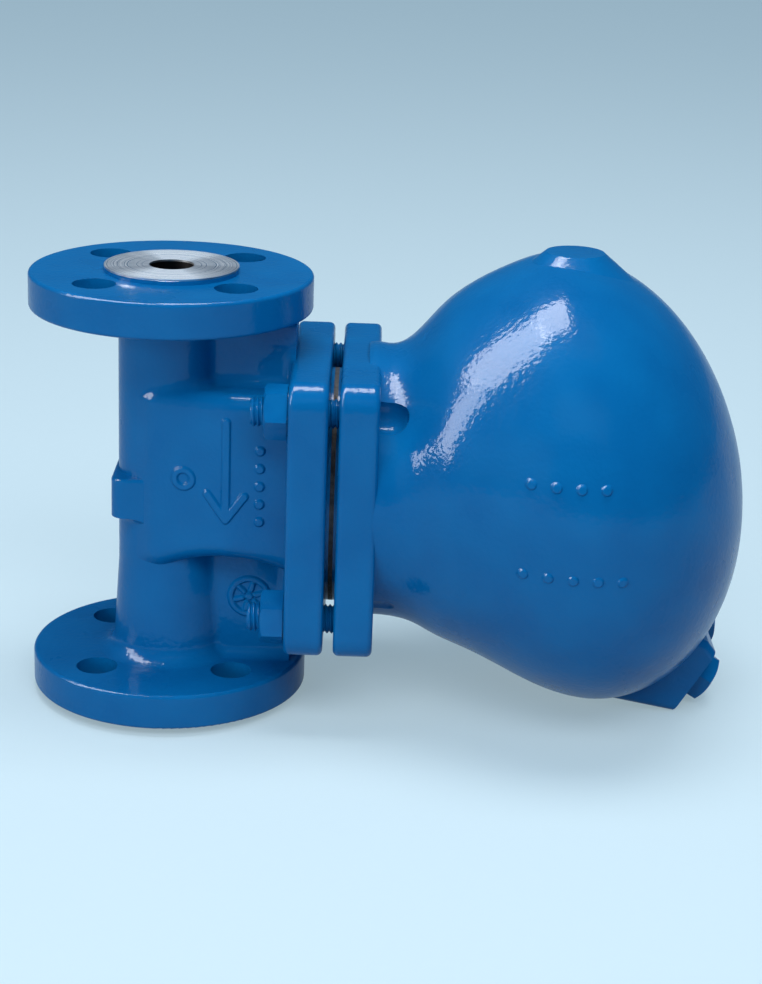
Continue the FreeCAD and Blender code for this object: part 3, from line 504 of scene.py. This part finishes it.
def makeStuds():
    low, high = (np.array(corner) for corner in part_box("hood_studs"))
    middle = (low[2] + high[2]) / 2
    solids = np.array([vertex.co[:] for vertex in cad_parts["hood_studs"].data.vertices])
    oneStud = solids[(solids[:, 1] > 0) & (solids[:, 2] > middle)]
    outer = (oneStud[:, 1].max() - oneStud[:, 1].min()) / 2
    spread = high[1] - outer
    count = int((high[0] - low[0]) / stud["pitch"] * stud["rings"])
    x = np.linspace(low[0], high[0], count + 1)
    turn = np.arange(stud["sides"]) / stud["sides"]
    phase = np.mod(x[:, None] / stud["pitch"] - turn[None, :], 1.0)
    radius = outer - stud["depth"] * np.abs(2.0 * phase - 1.0)
    fromEnd = np.minimum(x - low[0], high[0] - x)
    radius = np.minimum(radius, (outer - stud["end"] + fromEnd)[:, None])
    points, faces = [], []
    for sideY in (-1, 1):
        for sideZ in (-1, 1):
            base = len(points)
            y = sideY * spread + radius * np.cos(2 * math.pi * turn)
            z = middle + sideZ * spread + radius * np.sin(2 * math.pi * turn)
            grid = np.stack([np.broadcast_to(x[:, None], y.shape), y, z], axis=-1)
            points += grid.reshape(-1, 3).tolist()
            for ring in range(count):
                start = base + ring * stud["sides"]
                for side in range(stud["sides"]):
                    a, b = start + side, start + (side + 1) % stud["sides"]
                    faces.append((a, b, b + stud["sides"], a + stud["sides"]))
            faces.append([base + side for side in reversed(range(stud["sides"]))])
            faces.append([base + count * stud["sides"] + side for side in range(stud["sides"])])
    piece = addPiece("threadedStuds", points, faces, "fastenerEnamel")
    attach(piece, "trap")
    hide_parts("hood_studs")


makeStuds()
print("studs threaded")

# floor, lamps, air and camera

studio = {"floor": (0.37, 0.45, 0.49, 1.0), "floorGlow": (0.26, 0.34, 0.37, 1.0), "floorGrain": 0.985,
          "floorHalf": 6.0, "drop": 0.0004, "air": (0.20, 0.55, 0.95, 1.0), "airStrength": 0.32,
          "aim": (0.0724, 0.0, 0.075), "camera": (0.06649, -0.70634, 0.31159),
          "target": (0.0724, 0.0, 0.0725), "roll": 2.11, "lens": 79.13}
# lamps: the two ends of the strip's middle line, its width, its power, and whether it is one that only
# gloss and metal mirror or one that only lights matt colour
lamps = {"lowStrip": ((-1.03, -0.19, 0.26), (-0.76, -0.18, 0.82), 0.34, 12.0, True),
         "highStrip": ((-0.76, -0.10, 0.80), (-0.28, 0.16, 1.12), 0.40, 18.0, True),
         "crown": ((-0.34, 0.20, 1.16), (0.14, 0.26, 1.20), 0.44, 16.0, True),
         "overhead": ((-0.35, 0.0, 1.45), (0.65, 0.0, 1.45), 0.60, 13.0, False),
         "keyLeft": ((-1.30, -0.75, 0.45), (-0.55, -1.30, 0.45), 0.60, 7.5, False),
         "frontFill": ((-0.50, -1.15, 1.25), (0.90, -1.15, 1.25), 0.60, 13.5, False)}


def makeFloor():
    half = studio["floorHalf"]
    z = cadBox[0][2] - studio["drop"]
    mesh = bpy.data.meshes.new("floor")
    corners = [(-half, -half, z), (half, -half, z), (half, half, z), (-half, half, z)]
    mesh.from_pydata(corners, [], [(0, 1, 2, 3)])
    floor = bpy.data.objects.new("floor", mesh)
    scene.collection.objects.link(floor)
    material, tree, shader, place = startMaterial("floorPaper")
    grain = addNode(tree, "ShaderNodeTexNoise", Scale=300.0, Detail=2.0)
    tree.links.new(place, grain.inputs["Vector"])
    shade = tuple(channel * studio["floorGrain"] for channel in studio["floor"][:3]) + (1.0,)
    tree.links.new(mixColour(tree, grain.outputs["Fac"], studio["floor"], shade),
                   shader.inputs["Base Color"])
    # the glow shows to the camera and in metal, and lights nothing
    rays = tree.nodes.new("ShaderNodeLightPath").outputs
    mirrored = mathNode(tree, "MAXIMUM", rays["Is Glossy Ray"], rays["Is Transmission Ray"])
    seen = mathNode(tree, "MAXIMUM", rays["Is Camera Ray"], mirrored)
    tree.links.new(mixColour(tree, seen, (0.0, 0.0, 0.0, 1.0), studio["floorGlow"]),
                   shader.inputs["Emission Color"])
    shader.inputs["Emission Strength"].default_value = 1.0
    shader.inputs["Roughness"].default_value = 0.9
    shader.inputs["Specular IOR Level"].default_value = 0.0
    mesh.materials.append(material)


def makeLamps():
    centre = Vector(studio["aim"])
    for name, (start, end, width, power, mirrored) in lamps.items():
        data = bpy.data.lights.new(name, "AREA")
        data.shape = "RECTANGLE"
        along = Vector(end) - Vector(start)
        data.size, data.size_y = along.length, width
        data.energy = power
        lamp = bpy.data.objects.new(name, data)
        middle = (Vector(start) + Vector(end)) / 2
        back = (middle - centre).normalized()
        across = along.normalized()
        back = (back - across * back.dot(across)).normalized()
        turn = Matrix((across, back.cross(across), back)).transposed()
        lamp.matrix_world = Matrix.Translation(middle) @ turn.to_4x4()
        lamp.visible_glossy = mirrored
        lamp.visible_diffuse = not mirrored
        scene.collection.objects.link(lamp)


def makeWorld():
    world = bpy.data.worlds.new("studioAir")
    world.use_nodes = True
    tree = world.node_tree
    tree.nodes.clear()
    output = tree.nodes.new("ShaderNodeOutputWorld")
    air = addNode(tree, "ShaderNodeBackground", Color=studio["air"], Strength=studio["airStrength"])
    tree.links.new(air.outputs[0], output.inputs[0])
    scene.world = world


def makeCamera():
    data = bpy.data.cameras.new("camera")
    data.lens = studio["lens"]
    data.sensor_width = 36.0
    data.clip_start = 0.01
    camera = bpy.data.objects.new("camera", data)
    camera.location = studio["camera"]
    look = (Vector(studio["target"]) - camera.location).to_track_quat("-Z", "Y")
    turn = Quaternion((0.0, 0.0, 1.0), math.radians(studio["roll"]))
    camera.rotation_mode = "QUATERNION"
    camera.rotation_quaternion = look @ turn
    scene.collection.objects.link(camera)
    scene.camera = camera


makeFloor()
makeLamps()
makeWorld()
makeCamera()
scene.view_settings.view_transform = "Standard"
print("studio ready")
